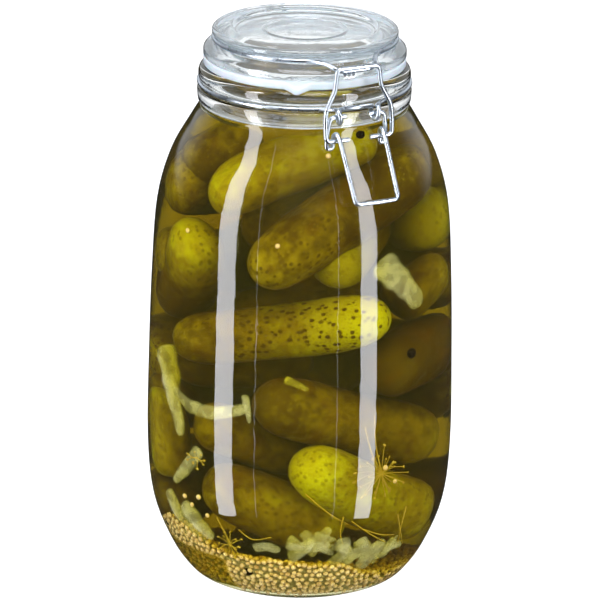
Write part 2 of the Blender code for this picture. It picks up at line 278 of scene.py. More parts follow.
# ---- The mustard seed ------------------------------------------------------------------
# Pale tan mustard seed, about 2 mm across, that has settled as a bed on the jar's floor and is
# banked up against the wall. Its inside is one lumpy mass; every seed that shows is a piece of it.
SEED_R = 1.28
SEED_GAP = 2.32                # nearest two seeds' middles come
BED_TOP = 19.0
# Height of the seed at the wall, and how far it stands off the wall low down, by turn
BED_EDGE = [(-180, 14.0), (-125, 22.0), (-90, 36.0), (-76, 32.0), (-66, 26.5), (-35, 24.5), (-8, 22.5),
            (8, 14.5), (24, 10.0), (70, 10.0), (120, 15.0), (180, 14.0)]
BED_STAND_OFF = [(-180, 0.0), (-135, 0.0), (-115, 10.5), (-68, 10.5), (-60, 0.0), (180, 0.0)]
STAND_OFF_Z = 22.0             # below this the seed stands off the wall
BED_FACETS = 144
BED_R = 57.0                   # where the bed's edge is measured
BED_LEVEL_R = 24.0             # how far its top is level
BED_SLOPE_W = 32.0             # how wide the slope outside that is
BED_HIGHEST = 37.0
GRAIN = ("GeometryNodeMeshUVSphere", {"Segments": 8, "Rings": 5})
draw = random.Random(11)


def at(radius, height, turn):
    """The point at a turn from the clasp."""
    angle = math.radians(turn)
    return Vector((radius * math.sin(angle), -radius * math.cos(angle), height))


def between(table, turn):
    """Value at a turn, read from (turn, value) pairs that go once round."""
    return float(np.interp((turn + 180.0) % 360.0 - 180.0, *zip(*table)))


LINED_R, LINED_Z = np.array(inside_line(6)[::-1]).T


def inner_radius(height):
    """Inside radius of the jar at a height, down to the middle of its floor."""
    return float(np.interp(height, LINED_Z, LINED_R))


def bed_height(radius, turn):
    """Top of the bed: level in its middle, then up or down to its edge at the wall."""
    near_wall = min(1.0, max(0.0, (radius - BED_LEVEL_R) / BED_SLOPE_W))
    uneven = 1.5 * noise.noise(at(radius, 0.0, turn) / 7.0)
    return BED_TOP + (between(BED_EDGE, turn) - BED_TOP) * near_wall + uneven


def stand_off(height, turn):
    return between(BED_STAND_OFF, turn) * min(1.0, max(0.0, (STAND_OFF_Z + 2.0 - height) / 3.0))


def blank_tree(name, sizes):
    """A geometry tree and the node that brings its geometry and one number for each size."""
    tree = bpy.data.node_groups.new(name, "GeometryNodeTree")
    tree.is_modifier = True
    face = tree.interface
    face.new_socket("Geometry", in_out="INPUT", socket_type="NodeSocketGeometry")
    face.new_socket("Geometry", in_out="OUTPUT", socket_type="NodeSocketGeometry")
    for size in sizes:
        face.new_socket(size, in_out="INPUT", socket_type="NodeSocketFloat")
    return tree, tree.nodes.new("NodeGroupInput")


def put_out(tree, shape, material):
    """End a geometry tree: its shape is smoothed, made real and painted."""
    soft = add_node(tree, "GeometryNodeSetShadeSmooth")
    real = add_node(tree, "GeometryNodeRealizeInstances")
    paint = add_node(tree, "GeometryNodeSetMaterial", Material=material)
    chain(shape, soft.inputs[0], soft.outputs[0], real.inputs[0], real.outputs[0],
          paint.inputs["Geometry"], paint.outputs[0], tree.nodes.new("NodeGroupOutput").inputs[0])


def grown(name, mesh, tree, sizes):
    """The plain mesh that a geometry tree makes of a mesh, as one object."""
    guide = placed(name + " guide", mesh)
    grow = guide.modifiers.new("grow", "NODES")
    grow.node_group = tree
    for item in tree.interface.items_tree:
        if item.in_out == "INPUT" and item.name in sizes:
            grow[item.identifier] = float(sizes[item.name])
    seen = guide.evaluated_get(bpy.context.evaluated_depsgraph_get())
    made = bpy.data.meshes.new_from_object(seen)
    guide.modifiers.remove(grow)
    bpy.data.objects.remove(guide, do_unlink=True)
    made.name = name
    return placed(name, made)


def give(mesh, key, numbers):
    """Store one number or vector for each point of a mesh."""
    kind = "FLOAT_VECTOR" if hasattr(numbers[0], "__len__") else "FLOAT"
    layer = mesh.attributes.new(key, kind, "POINT")
    field = "vector" if kind == "FLOAT_VECTOR" else "value"
    layer.data.foreach_set(field, np.array(numbers, dtype=np.float32).ravel())


def scattered(name, spots, unit, radius, material, **values):
    """A unit shape on every spot, as one piece, with spots and radius in millimetres. The unit is
    a node and its inputs. Each spot has its own spin and size, and what else its material reads."""
    tree, given = blank_tree(name + " on spots", ["Radius"])
    shape = add_node(tree, unit[0], **unit[1])
    copies = add_node(tree, "GeometryNodeInstanceOnPoints")
    spin, size = (add_node(tree, "GeometryNodeInputNamedAttribute", {"data_type": "FLOAT_VECTOR"}, Name=key)
                  for key in ("spin", "size"))
    chain(given.outputs["Radius"], shape.inputs["Radius"], shape.outputs["Mesh"], copies.inputs["Instance"],
          given.outputs["Geometry"], copies.inputs["Points"], spin.outputs[0], copies.inputs["Rotation"],
          size.outputs[0], copies.inputs["Scale"])
    put_out(tree, copies.outputs[0], material)
    mesh = mesh_of(name + " spots", spots)
    for key, numbers in values.items():
        give(mesh, key, numbers)
    return grown(name, mesh, tree, {"Radius": radius * MM})


def spins(luck, spots):
    """A random turn for each spot."""
    return [[luck.uniform(0, 6.2) for _ in range(3)] for _ in spots]


def ramped(value, low, high, to_low=0.0, to_high=1.0):
    """A smooth step of a value from to_low to to_high."""
    node = add_node(value.id_data, "ShaderNodeMapRange", {"interpolation_type": "SMOOTHSTEP"}, Value=value,
                    From_Min=low, From_Max=high, To_Min=to_low, To_Max=to_high)
    return node.outputs["Result"]


def mixed(factor, first, second):
    """Colour from first to second."""
    node = add_node(factor.id_data, "ShaderNodeMix", {"data_type": "RGBA"}, Factor=factor)
    plug(node.inputs[6], first)
    plug(node.inputs[7], second)
    return node.outputs[2]


def seed_material():
    material, tree, shader = finish("mustard seed skin", Roughness=0.55, Specular_IOR_Level=0.12)
    mottle = pattern(tree, "Noise", 900.0, Detail=2.0)
    tan = mixed(own(tree, "tint"), (0.68, 0.43, 0.23), (0.95, 0.74, 0.53))
    skin = mixed(ramped(mottle, 0.50, 0.68, 0.0, 0.4), tan, (0.52, 0.31, 0.13))
    set_inputs(shader, Base_Color=skin, Normal=bumped(mottle, 0.3, 0.1))
    return material


def bed_material():
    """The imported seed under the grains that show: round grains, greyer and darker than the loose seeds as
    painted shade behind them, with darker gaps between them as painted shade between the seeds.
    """
    material, tree, shader = finish("packed mustard seed", Roughness=0.6, Specular_IOR_Level=0.2)
    grains = pattern(tree, "Voronoi", 440.0)
    # Painted shade: the grey-brown tones and the dark gaps stand for the shade between and behind the loose
    # seeds
    skin = mixed(ramped(grains, 0.2, 0.6), (0.50, 0.45, 0.36), (0.33, 0.28, 0.20))
    set_inputs(shader, Base_Color=skin, Normal=bumped(grains, 0.8, 0.6, invert=True))
    return material


def seed_bed():
    """The mass of the bed: its side follows the wall a seed's width inside it, and its top dips
    and rises."""
    sunk = 1.5 * SEED_R
    side = (0.0, 0.12, 0.25, 0.4, 0.55, 0.7, 0.85, 1.0)
    top = (0.97, 0.92, 0.85, 0.76, 0.66, 0.54, 0.4, 0.2)
    foot = BASE_T + 1.8
    vertices, rings = [Vector((0, 0, BASE_T + 0.5))], []
    for k in range(BED_FACETS):
        turn = 360.0 * k / BED_FACETS
        edge = bed_height(BED_R, turn) - sunk
        ring = [at(30.0, BASE_T + 0.5, turn)]
        for share in side:
            z = foot + (edge - foot) * share
            ring.append(at(inner_radius(z) - sunk - 0.5 - stand_off(z, turn), z, turn))
        reach = ring[-1].xy.length
        ring += [at(reach * share, bed_height(reach * share, turn) - sunk, turn) for share in top]
        rings.append([len(vertices) + i for i in range(len(ring))])
        vertices += ring
    crown = len(vertices)
    vertices.append(Vector((0, 0, BED_TOP - sunk)))
    faces = []
    for ring, near in zip(rings, rings[1:] + rings[:1]):
        faces.append((0, near[0], ring[0]))
        faces.append((ring[-1], near[-1], crown))
        faces += [(ring[i], near[i], near[i + 1], ring[i + 1]) for i in range(len(ring) - 1)]
    return new_piece("mustard_seed_bed", vertices, faces, bed_material())


def settled(tries, spot, taken):
    """Drop seeds at random spots, and keep those that no other seed is in the way of."""
    for _ in range(tries):
        here = spot()
        if here is None:
            continue
        cell = tuple(int(c // SEED_GAP) for c in here)
        near = [other for x in (-1, 0, 1) for y in (-1, 0, 1) for z in (-1, 0, 1)
                for other in taken.get((cell[0] + x, cell[1] + y, cell[2] + z), ())]
        if all((other - here).length > SEED_GAP for other in near):
            taken.setdefault(cell, []).append(here)


def spot_at_wall(depth):
    """A spot against the glass, or that far behind it, within the bed's side."""
    turn = draw.uniform(-180.0, 180.0)
    z = draw.uniform(BASE_T + 1.2, BED_HIGHEST)
    if z > bed_height(BED_R, turn) + 0.3:
        return None
    return at(inner_radius(z) - SEED_R - depth - draw.uniform(0.1, 0.5) - stand_off(z, turn), z, turn)


def spot_on_top():
    """A spot on the bed's top, outside its middle, which the gherkins hide."""
    turn = draw.uniform(-180.0, 180.0)
    radius = 58.0 * math.sqrt(draw.uniform(0.2, 1.0))
    z = bed_height(radius, turn) + draw.uniform(-0.5, 0.6)
    return at(radius, z, turn) if radius < inner_radius(z) - SEED_R - 0.2 else None


bed = seed_bed()
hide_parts("mustard_seeds")
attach(bed, "jar")

seed_cells = {}
settled(16000, lambda: spot_at_wall(0.0), seed_cells)
settled(9000, spot_on_top, seed_cells)
settled(5000, lambda: spot_at_wall(1.3), seed_cells)
seed_spots = [spot for spots in seed_cells.values() for spot in spots]
# Turn and height of seeds stuck to the glass further up
for turn, z in ((-36.9, 178.8), (-14.0, 216.8), (-80.4, 177.7), (-70.0, 52.0), (-74.0, 47.0), (-78.0, 50.0),
                (9.0, 70.0), (14.0, 62.0), (-66.0, 44.0), (120.0, 96.0)):
    seed_spots.append(at(bore_radius(z) - SEED_R - 0.2, z, turn))
seeds = scattered("loose_mustard_seeds", seed_spots, GRAIN, SEED_R, seed_material(),
                  spin=spins(draw, seed_spots),
                  size=[[g * draw.uniform(0.94, 1.06), g, g * draw.uniform(0.9, 1.0)]
                        for g in (draw.uniform(0.86, 1.06) for _ in seed_spots)],
                  tint=[min(1.0, max(0.0, draw.gauss(0.68, 0.22))) for _ in seed_spots])
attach(seeds, "jar")

# ---- The gherkins ----------------------------------------------------------------------
# Whole pickled gherkins, 80 to 100 mm long, packed by hand: those at the front lie against the
# glass as they fell, those at the back are stacked in tiers, and a few fill the middle.
# One end, the other end, radius, how ripe each end is (0 brown-olive to 1 yellow-green; set high at
# the brightly lit ends as painted glow), freckles
FRONT_GHERKINS = [
    ((-40, 12, 199), (-22, 6, 209), 11.5, 0.10, 0.35, 0.4),
    ((-43, -15, 193), (12, -22, 211), 12.8, 0.45, 0.75, 0.35),
    ((-34, -37, 165), (35, -27, 198), 14.0, 0.42, -0.1, 1.0),
    ((-50, -1, 168), (-40, 20, 136), 13.5, 0.85, -0.7, 0.6),
    ((-3, -38, 162), (24, 4, 170), 11.5, 1.4, 0.4, 0.3),
    ((-53, -2, 122), (8, -51, 139), 12.8, 0.05, 1.35, 1.0),
    ((30, -27, 140), (44, -23, 148), 11.5, 0.1, 0.7, 0.4),
    ((20, -44, 112), (44, -20, 112), 15.5, -0.6, -0.5, 0.5),
    ((-32, -40, 100), (37, -29, 71), 14.6, 0.10, 0.35, 0.4),
    ((-47, -14, 84), (-14, -20, 70), 12.2, 0.35, 0.2, 0.4),
    ((-18, -49, 70), (35, -35, 38), 14.2, 1.1, 0.3, 0.5),
    ((-46, -21, 56), (-7, -36, 38), 14.0, 0.1, 0.8, 0.6),
    ((-52, 17, 86), (-52, 12, 58), 11.5, 0.6, 0.6, 0.4),
    ((-40, 12, 107), (-8, -10, 113), 12.0, 0.1, 0.1, 0.4),
    ((42, -16, 172), (46, 20, 162), 12.0, 1.2, 0.7, 0.4),
]
# Height, turn, lean
TIERS = [(42, 145, 12), (44, -150, -10), (74, 128, -22), (80, -150, 14), (110, 130, 18), (112, -160, -16),
         (142, 128, 12), (150, -150, 16), (180, 142, -12), (184, -150, 12)]
TIER_R = 13.0
TIER_HALF = 34.0
CAP = 0.62                     # how far a rounded end stands past its centre, in radii
WART_GAP = 3.6
WART_RISE = 0.28
FRECKLE_GAP = 2.9
FRONT_MESH = (84, 62)          # rows along and columns round
BACK_MESH = (50, 38)
MIDDLE_MESH = (24, 18)


def bands(rows, count, first=0):
    """Faces between rings of count points, one ring after another, from the point called first."""
    return [(low + k, low + (k + 1) % count, low + count + (k + 1) % count, low + count + k)
            for low in range(first, first + (rows - 1) * count, count) for k in range(count)]


def tier_ends(height, turn, lean):
    """Ends of a gherkin lying as a chord against the wall."""
    inset = math.sqrt((bore_radius(height) - TIER_R - 2.0) ** 2 - TIER_HALF ** 2)
    centre = at(inset, height, turn)
    along = at(TIER_HALF, lean / 2.0, turn + 90.0)
    return centre - along, centre + along


def gherkin(start, end, radius, mesh_size, number):
    """One gherkin's points, faces and pattern: blunt ends, three soft lobes, faint ridges, warts,
    a dimple at each end, slightly bowed, and pressed flat where it meets the glass."""
    rows, columns = mesh_size
    start, end = Vector(start), Vector(end)
    axis = (end - start).normalized()
    middle = (start + end) / 2
    out = Vector((middle.x, middle.y, 0.0))
    out = (out - axis * out.dot(axis)).normalized() if out.length > 1 else axis.orthogonal().normalized()
    side = axis.cross(out)
    half = (end - start).length / 2 + CAP * radius
    luck = random.Random(number)
    phase, taper = luck.uniform(0, 6.2), luck.uniform(-0.07, 0.07)
    bow = [luck.uniform(-1.8, 1.8), luck.uniform(-1.6, -0.2)]
    shift = Vector((number * 37.0, number * 11.0, 0.0))
    points, local, tips = [], [], []

    def place(share, angle):
        ease = 0.55
        along = ease * -math.cos(math.pi * share) + (1 - ease) * (2 * share - 1)
        width = math.sqrt(max(0.0, 1 - abs(along) ** 5.5)) * (1 + taper * along)
        spot = Vector((math.cos(angle) * radius * width, math.sin(angle) * radius * width, along * half))
        spot += shift
        lobes = (0.022 * math.cos(3 * angle + phase) + 0.005 * math.cos(11 * angle + 2 * phase)) * width
        lumps = 0.045 * noise.noise(spot / 19.0) + 0.016 * noise.noise(spot / 6.0)
        near = noise.voronoi(Vector((spot.x, spot.y, spot.z * 0.8)) / WART_GAP)[0][0]
        wart = WART_RISE * max(0.0, 1 - near / 0.42) ** 1.2 * min(1.0, width * 1.2)
        reach = radius * width * (1 + lobes + lumps) + wart
        dimple = 0.7 * math.exp(-((radius * width / 2.2) ** 2)) if abs(along) > 0.9 else 0.0
        bend = 1 - along * along
        centre = middle + axis * (along * half - math.copysign(dimple, along)) \
            + side * bow[0] * bend + out * bow[1] * bend
        point = centre + (out * math.cos(angle) + side * math.sin(angle)) * reach
        limit = bore_radius(point.z) - 0.45
        flat = point.xy.length
        if flat > limit:
            point.x *= limit / flat
            point.y *= limit / flat
        points.append(point)
        local.append(spot * MM)
        tips.append(along)

    place(0.0, 0.0)
    for row in range(1, rows):
        for column in range(columns):
            turn = 2 * math.pi * column / columns
            place(row / rows, turn - 0.45 * math.sin(turn))
    place(1.0, 0.0)
    last = len(points) - 1
    faces = bands(rows - 1, columns, 1)
    for column in range(columns):
        n = (column + 1) % columns
        faces.append((0, 1 + n, 1 + column))
        faces.append((last, last - columns + column, last - columns + n))
    return points, faces, local, tips


def gathered(name, parts, material):
    """Several closed shapes as one piece."""
    vertices, faces = [], []
    for points, quads in parts:
        faces += [tuple(i + len(vertices) for i in face) for face in quads]
        vertices += points
    return new_piece(name, vertices, faces, material)


def gherkin_material():
    """Cured skin: olive to yellow-green in blotches and by how ripe each end is, browner in patches, paler at
    the ends, with dark freckles on the warts, fine specks, pale streaks along it and a wet sheen. A high
    ripe value at a brightly lit end paints the glow of light there."""
    material, tree, shader = finish("gherkin skin", Roughness=0.35, Specular_IOR_Level=0.10,
                                    Subsurface_Weight=0.25, Subsurface_Scale=0.0014,
                                    Subsurface_Radius=(1.0, 0.8, 0.1))
    ripe, freckled, tip = (own(tree, name) for name in ("ripe", "freckled", "tip"))
    skin_place = own(tree, "skin_place", "Vector")

    def patches(scale, detail=2.0, stretch=(1.0, 1.0, 1.0)):
        spread = add_node(tree, "ShaderNodeMapping", Vector=skin_place, Scale=stretch)
        return add_node(tree, "ShaderNodeTexNoise", Vector=spread.outputs[0], Scale=scale,
                        Detail=detail).outputs[0]

    def uneven(scale, much):
        """Patches that add and take away."""
        return maths("MULTIPLY", maths("SUBTRACT", patches(scale), 0.5), much)

    def dots(size, reach, ragged, strength):
        """Spots in cells of a size in millimetres, as 0 to strength."""
        cells = add_node(tree, "ShaderNodeMapping", Vector=skin_place, Scale=(1.0, 1.0, 0.8))
        spots = add_node(tree, "ShaderNodeTexVoronoi", Vector=cells.outputs[0], Scale=1000 / size)
        edge = maths("ADD", spots.outputs["Distance"], uneven(2200 / size, ragged))
        return ramped(edge, reach * 0.8, reach * 1.2, strength, 0.0), edge

    # The ripe value also carries painted light: set high at the brightly lit ends, it paints them glowing
    # pale yellow-green
    greener = maths("ADD", ripe, maths("ADD", uneven(38.0, 1.3), uneven(190.0, 1.1)))
    colour = mixed(ramped(greener, -0.1, 0.55), (0.090, 0.050, 0.001), (0.310, 0.235, 0.002))
    colour = mixed(ramped(greener, 0.45, 1.2), colour, (0.580, 0.580, 0.004))
    brown = maths("MULTIPLY", ramped(patches(75.0), 0.50, 0.68, 0.0, 0.6),
                  ramped(ripe, 0.0, 1.1, 1.0, 0.0))
    lively = ramped(ripe, 0.3, 1.1, 0.1, 1.0)
    colour = mixed(brown, colour, (0.150, 0.068, 0.001))
    # Paler ends; at the ends given a high ripe value this paleness is painted glow
    pale_end = maths("MULTIPLY", ramped(maths("ABSOLUTE", tip, 0.0), 0.66, 1.0, 0.0, 0.4), lively)
    colour = mixed(pale_end, colour, (0.560, 0.520, 0.010))
    streaks = ramped(patches(300.0, 1.0, (1.0, 1.0, 0.12)), 0.50, 0.72, 0.0, 0.25)
    streaks = maths("MULTIPLY", streaks, lively)
    colour = mixed(streaks, colour, (0.560, 0.520, 0.010))
    freckle, edge = dots(FRECKLE_GAP, 0.32, 0.28, 1.0)
    speck, _ = dots(1.5, 0.30, 0.25, 0.35)
    crowded = ramped(patches(55.0), 0.33, 0.47, 0.6, 1.0)
    dark = maths("MULTIPLY", maths("MAXIMUM", freckle, speck), maths("MULTIPLY", crowded, freckled))
    colour = mixed(dark, colour, (0.120, 0.075, 0.001))
    pale, _ = dots(2.1, 0.16, 0.0, 0.25)
    colour = mixed(pale, colour, (0.600, 0.540, 0.060))
    rough = maths("SUBTRACT", patches(500.0, 3.0), edge)
    set_inputs(shader, Base_Color=colour, Normal=bumped(rough, 0.5, 0.4))
    return material


def pack_gherkins():
    packed = [(a, b, r, FRONT_MESH, (low, high), freckled)
              for a, b, r, low, high, freckled in FRONT_GHERKINS]
    for k, tier in enumerate(TIERS):
        ripe, freckled = 0.5 * (k * 0.618 % 1.0), 0.4 + 0.6 * (k * 0.382 % 1.0)
        packed.append((*tier_ends(*tier), TIER_R, BACK_MESH, (ripe, 0.5 - ripe), freckled))
    for k in range(9):
        centre, reach = at(7.0, 48.0 + 17.5 * k, 137.5 * k), at(17.0, 5.0, 137.5 * k + 70.0)
        packed.append((centre - reach, centre + reach, 12.0, MIDDLE_MESH, (0.3, 0.3), 0.5))
    parts, local, tips, ripes, freckles = [], [], [], [], []
    for number, (start, end, radius, size, ripe, freckled) in enumerate(packed, 1):
        points, faces, place, ends = gherkin(start, end, radius, size, number)
        parts.append((points, faces))
        local += place
        tips += ends
        # Each point's ripe value, which at the brightly lit ends is painted glow
        ripes += [ripe[0] + (ripe[1] - ripe[0]) * (1 + share) / 2 for share in ends]
        freckles += [freckled] * len(points)
    piece = gathered("gherkins", parts, gherkin_material())
    for key, numbers in (("skin_place", local), ("tip", tips), ("ripe", ripes), ("freckled", freckles)):
        give(piece.data, key, numbers)
    return piece


gherkins = pack_gherkins()
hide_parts("pickle_heap")
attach(gherkins, "jar")

# ---- The onion -------------------------------------------------------------------------
# Slices and torn leaves of pickled onion, glassy white-green, caught between the gherkins and
# the wall, and a drift of small bits over the mustard seed.
ONION_T = 0.5
DRIFT_R = 64.0                 # the wall's radius at the drifts


def on_wall(turn, height, depth):
    return at(bore_radius(height) - depth, height, turn)


def heading(line, i):
    """Which way a line runs at its point i."""
    return (line[min(i + 1, len(line) - 1)] - line[max(i - 1, 0)]).normalized()


def closed_tube(rows, count):
    """Faces of rings of points, with a flat face at each end."""
    last = rows * count
    return bands(rows, count) + [tuple(reversed(range(count))), tuple(range(last - count, last))]


def leaf(line, width, cup, lean):
    """A torn leaf of flesh along a line of points: thin, cupped, wavy, with an uneven edge. Lean
    turns it from lying flat on the wall, in degrees. Its second result is how far each point is
    from the edge, 0 to 1."""
    line = smooth_line(line, 7)
    across, ring = 11, []
    for k in range(across):
        u = -1 + 2 * k / (across - 1)
        ring.append((u, 0.5 * math.sqrt(1 - u ** 6) + 0.02))
    ring += [(u, -v) for u, v in reversed(ring[1:-1])]
    vertices, veil = [], []
    for i, spot in enumerate(line):
        along = heading(line, i)
        share = i / (len(line) - 1)
        out = Vector((spot.x, spot.y, 0.0)).normalized()
        out = (out - along * out.dot(along)).normalized()
        turn = Matrix.Rotation(math.radians(lean + 14 * math.sin(4 * share + width)), 3, along)
        flat, thick = turn @ along.cross(out), turn @ out
        blunt = math.sqrt(max(0.0, 1 - abs(2 * share - 1) ** 5)) + 0.05
        for u, v in ring:
            torn = 1 + 0.24 * noise.noise(spot / 5.5 + Vector((math.copysign(9.0, u), width, 0.0)))
            wave = 0.14 * noise.noise(spot / 4.0 + flat * u * 2.0)
            vertices.append(spot + flat * (u * 0.5 * width * blunt * torn * (1.1 - 0.45 * share))
                            + thick * (v * ONION_T * min(1.0, blunt) + cup * (1 - u * u) + wave))
            veil.append(min(1.0, blunt * (1 - abs(u) ** 3)))
    return (vertices, closed_tube(len(line), len(ring))), veil


def onion_material():
    """Glassy flesh: thin between its veins and at its edge, and cloudy along them."""
    material, tree, shader = finish("pickled onion", Roughness=0.4, Specular_IOR_Level=0.15)
    cloud = pattern(tree, "Noise", 150.0, Detail=3.0)
    veins = pattern(tree, "Noise", 500.0, Detail=2.0)
    flesh = mixed(cloud, (0.56, 0.54, 0.64), (0.86, 0.83, 0.86))
    flesh = mixed(ramped(veins, 0.55, 0.7, 0.0, 0.4), flesh, (0.92, 0.90, 0.90))
    solid = maths("MULTIPLY", ramped(cloud, 0.35, 0.65, 0.17, 0.42),
                  ramped(own(tree, "veil"), 0.0, 1.0, 0.1, 1.0))
    set_inputs(shader, Base_Color=flesh, Normal=bumped(veins, 0.2, 0.3), Alpha=solid)
    return material


# Line of (turn, height, depth) spots on the wall, width, cup and lean
ONION_SLICES = [
    ([(-98, 117, 5.7), (-94, 109, 5.7), (-88, 97, 5.5)], 15.0, 0.6, -36),
    ([(-93, 106, 3.2), (-88, 97, 3.6), (-84, 88, 3.6), (-81, 78, 3.6)], 10.5, 0.6, -25),
    ([(-88, 100, 3.6), (-76, 95, 3.4), (-64, 95, 3.2), (-54, 98, 3.2), (-47, 101, 3.0)], 8.0, 0.4, 5),
    ([(-49.5, 107, 3.0), (-48, 101, 2.4), (-47, 93, 2.8)], 4.0, 0.3, -8),
    ([(-69, 76, 3), (-77, 65, 3), (-86, 54, 3)], 7.5, 0.5, -12),
    ([(-91, 49, 3), (-87, 42, 3), (-84, 35, 3)], 8.0, 0.4, -25),
    ([(-81, 46, 2.8), (-73, 39, 2.6), (-65, 32, 2.6)], 8.5, 0.4, -15),
    ([(-85, 40, 4), (-78, 34, 4), (-71, 29, 4)], 7.0, 0.4, -30),
    ([(-46, 31, 2.6), (-40, 33, 2.4), (-34, 31.5, 2.6)], 6.5, 0.4, 12),
    ([(-34, 114, 10), (-28, 112, 9.6), (-23, 109, 10)], 5.0, 0.4, 10),
    ([(7, 170, 4.0), (14, 161, 3.0), (22, 152, 3.0), (30, 143, 4.0)], 15.0, 0.6, 4),
    ([(70, 52, 3.4), (78, 47, 3.4), (85, 44, 3.4)], 9.0, 0.6, 25),
    ([(150, 62, 3.4), (160, 60, 3.4), (168, 62, 3.4)], 10.0, 0.6, 30),
    ([(-140, 95, 4.4), (-132, 94, 4), (-124, 97, 4.4)], 9.0, 0.6, 40),
    ([(60, 92, 3.4), (66, 88, 3.4), (72, 82, 3.4)], 10.0, 0.6, 15),
    ([(140, 128, 4.4), (148, 126, 4), (156, 129, 4.4)], 8.0, 0.5, 45),
    ([(-170, 27, 3.4), (-162, 26, 3.4), (-154, 27, 3.4)], 8.0, 0.5, 20),
]
slices = [leaf([on_wall(*spot) for spot in line], *shape) for line, *shape in ONION_SLICES]
# Petals drifted on the seed bed, by the middle turn of their drift
for middle in [0.0] * 30 + [92.0] * 18 + [-165.0] * 12:
    turn, low = middle + draw.uniform(-28.0, 28.0), 20.0 if middle else 24.0
    height, depth = low + draw.uniform(0.0, 8.0), draw.uniform(1.6, 4.0)
    height += 9.0 * math.exp(-((turn + 19.0) / 7.0) ** 2)
    steep, half = math.radians(draw.uniform(-80.0, 80.0)), draw.uniform(4.0, 8.5)
    around, rise = math.degrees(half * math.cos(steep) / DRIFT_R), half * math.sin(steep)
    line = [on_wall(turn + side * around, height + side * rise, depth + 1.2 * side * side)
            for side in (-1, 0, 1)]
    slices.append(leaf(line, draw.uniform(4.0, 7.5), draw.uniform(0.0, 0.5), draw.uniform(-30.0, 30.0)))
onion = gathered("onion_slices", [part for part, _ in slices], onion_material())
give(onion.data, "veil", [share for _, veil in slices for share in veil])
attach(onion, "jar")

# ---- The dill and the peppercorns ------------------------------------------------------
# Dried dill: umbels of thin golden rays, each with a small fruit at its end, and loose stalks.
# Black peppercorns, 4 to 5 mm, wrinkled as they dried.
STALK_R = 0.34
FRUIT_R = 0.62
PEPPER_R = 2.5
UMBEL_R = 62.0                 # the spread of an umbel's rays is measured at this radius


def stalk(line, radius):
    """A thin round stem along a line, closed at both ends."""
    line = smooth_line(line, 5)
    vertices, sides = [], 6
    for i, spot in enumerate(line):
        along = heading(line, i)
        over = along.cross(Vector((0.31, 0.17, 0.93))).normalized()
        other = along.cross(over)
        thin = radius * (1 - 0.35 * i / (len(line) - 1))
        for k in range(sides):
            angle = 2 * math.pi * k / sides
            vertices.append(spot + (over * math.cos(angle) + other * math.sin(angle)) * thin)
    return vertices, closed_tube(len(line), sides)


def umbel(turn, height, depth, rays, reach, luck):
    """Rays spread from one spot near the wall, mostly along it. Returns stalks and fruit spots."""
    hub = on_wall(turn, height, depth)
    parts, fruit = [], []
    for k in range(rays):
        angle = 2 * math.pi * (k + luck.uniform(-0.3, 0.3)) / rays
        length = reach * luck.uniform(0.45, 1.0)
        tip_turn = turn + math.degrees(math.cos(angle) * length / UMBEL_R)
        tip_z = height + math.sin(angle) * length
        tip = on_wall(tip_turn, tip_z, max(1.2, depth + luck.uniform(-2.5, 1.5)))
        bend = (hub + tip) / 2 + Vector((0, 0, luck.uniform(-1.0, 1.4)))
        parts.append(stalk([hub, bend, tip], STALK_R * luck.uniform(0.55, 0.9)))
        fruit.append(tip)
    return parts, fruit


def dill_material():
    material, tree, shader = finish("dried dill", Roughness=0.55, Specular_IOR_Level=0.25)
    fibre = pattern(tree, "Noise", 300.0, Detail=2.0)
    set_inputs(shader, Base_Color=mixed(fibre, (0.30, 0.16, 0.02), (0.72, 0.55, 0.10)))
    return material


def pepper_material():
    material, tree, shader = finish("black peppercorn", Roughness=0.6, Specular_IOR_Level=0.1)
    wrinkle = pattern(tree, "Voronoi", 900.0)
    set_inputs(shader, Base_Color=mixed(wrinkle, (0.002, 0.001, 0.001), (0.014, 0.007, 0.003)),
               Normal=bumped(wrinkle, 0.8, 0.5))
    return material


luck = random.Random(5)
stalks, fruit = [], []
for place in ((8.0, 67.0, 3.4, 26, 15.0), (-57.0, 31.0, 2.6, 14, 8.0), (96.0, 128.0, 3.5, 20, 14.0),
              (-150.0, 66.0, 3.5, 18, 13.0), (-71.0, 71.0, 2.6, 9, 6.0)):
    more, ends = umbel(*place, luck)
    stalks += more
    fruit += ends
# Loose stems by their spots on the wall
for line in ([(8, 67, 3.6), (5, 82, 3.2), (4.4, 96, 3.8)], [(8, 67, 3.6), (3, 78, 2.8), (0, 91, 3)],
             [(22, 47, 2.4), (21, 36, 2.6), (23, 25, 3)], [(18, 44, 3), (22, 33, 2.4), (26, 27, 3)],
             [(-24, 60, 5), (-14, 50, 4), (-6, 44, 4)], [(-52, 40, 3), (-46, 36, 2.6), (-38, 38, 3)],
             [(2, 40, 4), (10, 36, 3), (18, 34, 3)], [(-4, 45, 5), (4, 38, 3), (14, 31, 3)],
             [(-62, 44, 3), (-58, 36, 2.4), (-55, 28, 3)], [(-8, 48, 4), (-9, 40, 3), (-7, 33, 3)],
             [(160, 40, 4), (172, 34, 3), (-176, 30, 3)], [(100, 130, 3), (104, 112, 3), (103, 96, 3)]):
    stalks.append(stalk([on_wall(*spot) for spot in line], STALK_R))
dill_finish = dill_material()
dill = gathered("dill_stalks", stalks, dill_finish)
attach(dill, "jar")

dill_fruit = scattered("dill_fruit", fruit, GRAIN, FRUIT_R, dill_finish, spin=spins(luck, fruit),
                       size=[[1.0, 0.6, luck.uniform(1.2, 1.7)] for _ in fruit])
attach(dill_fruit, "jar")

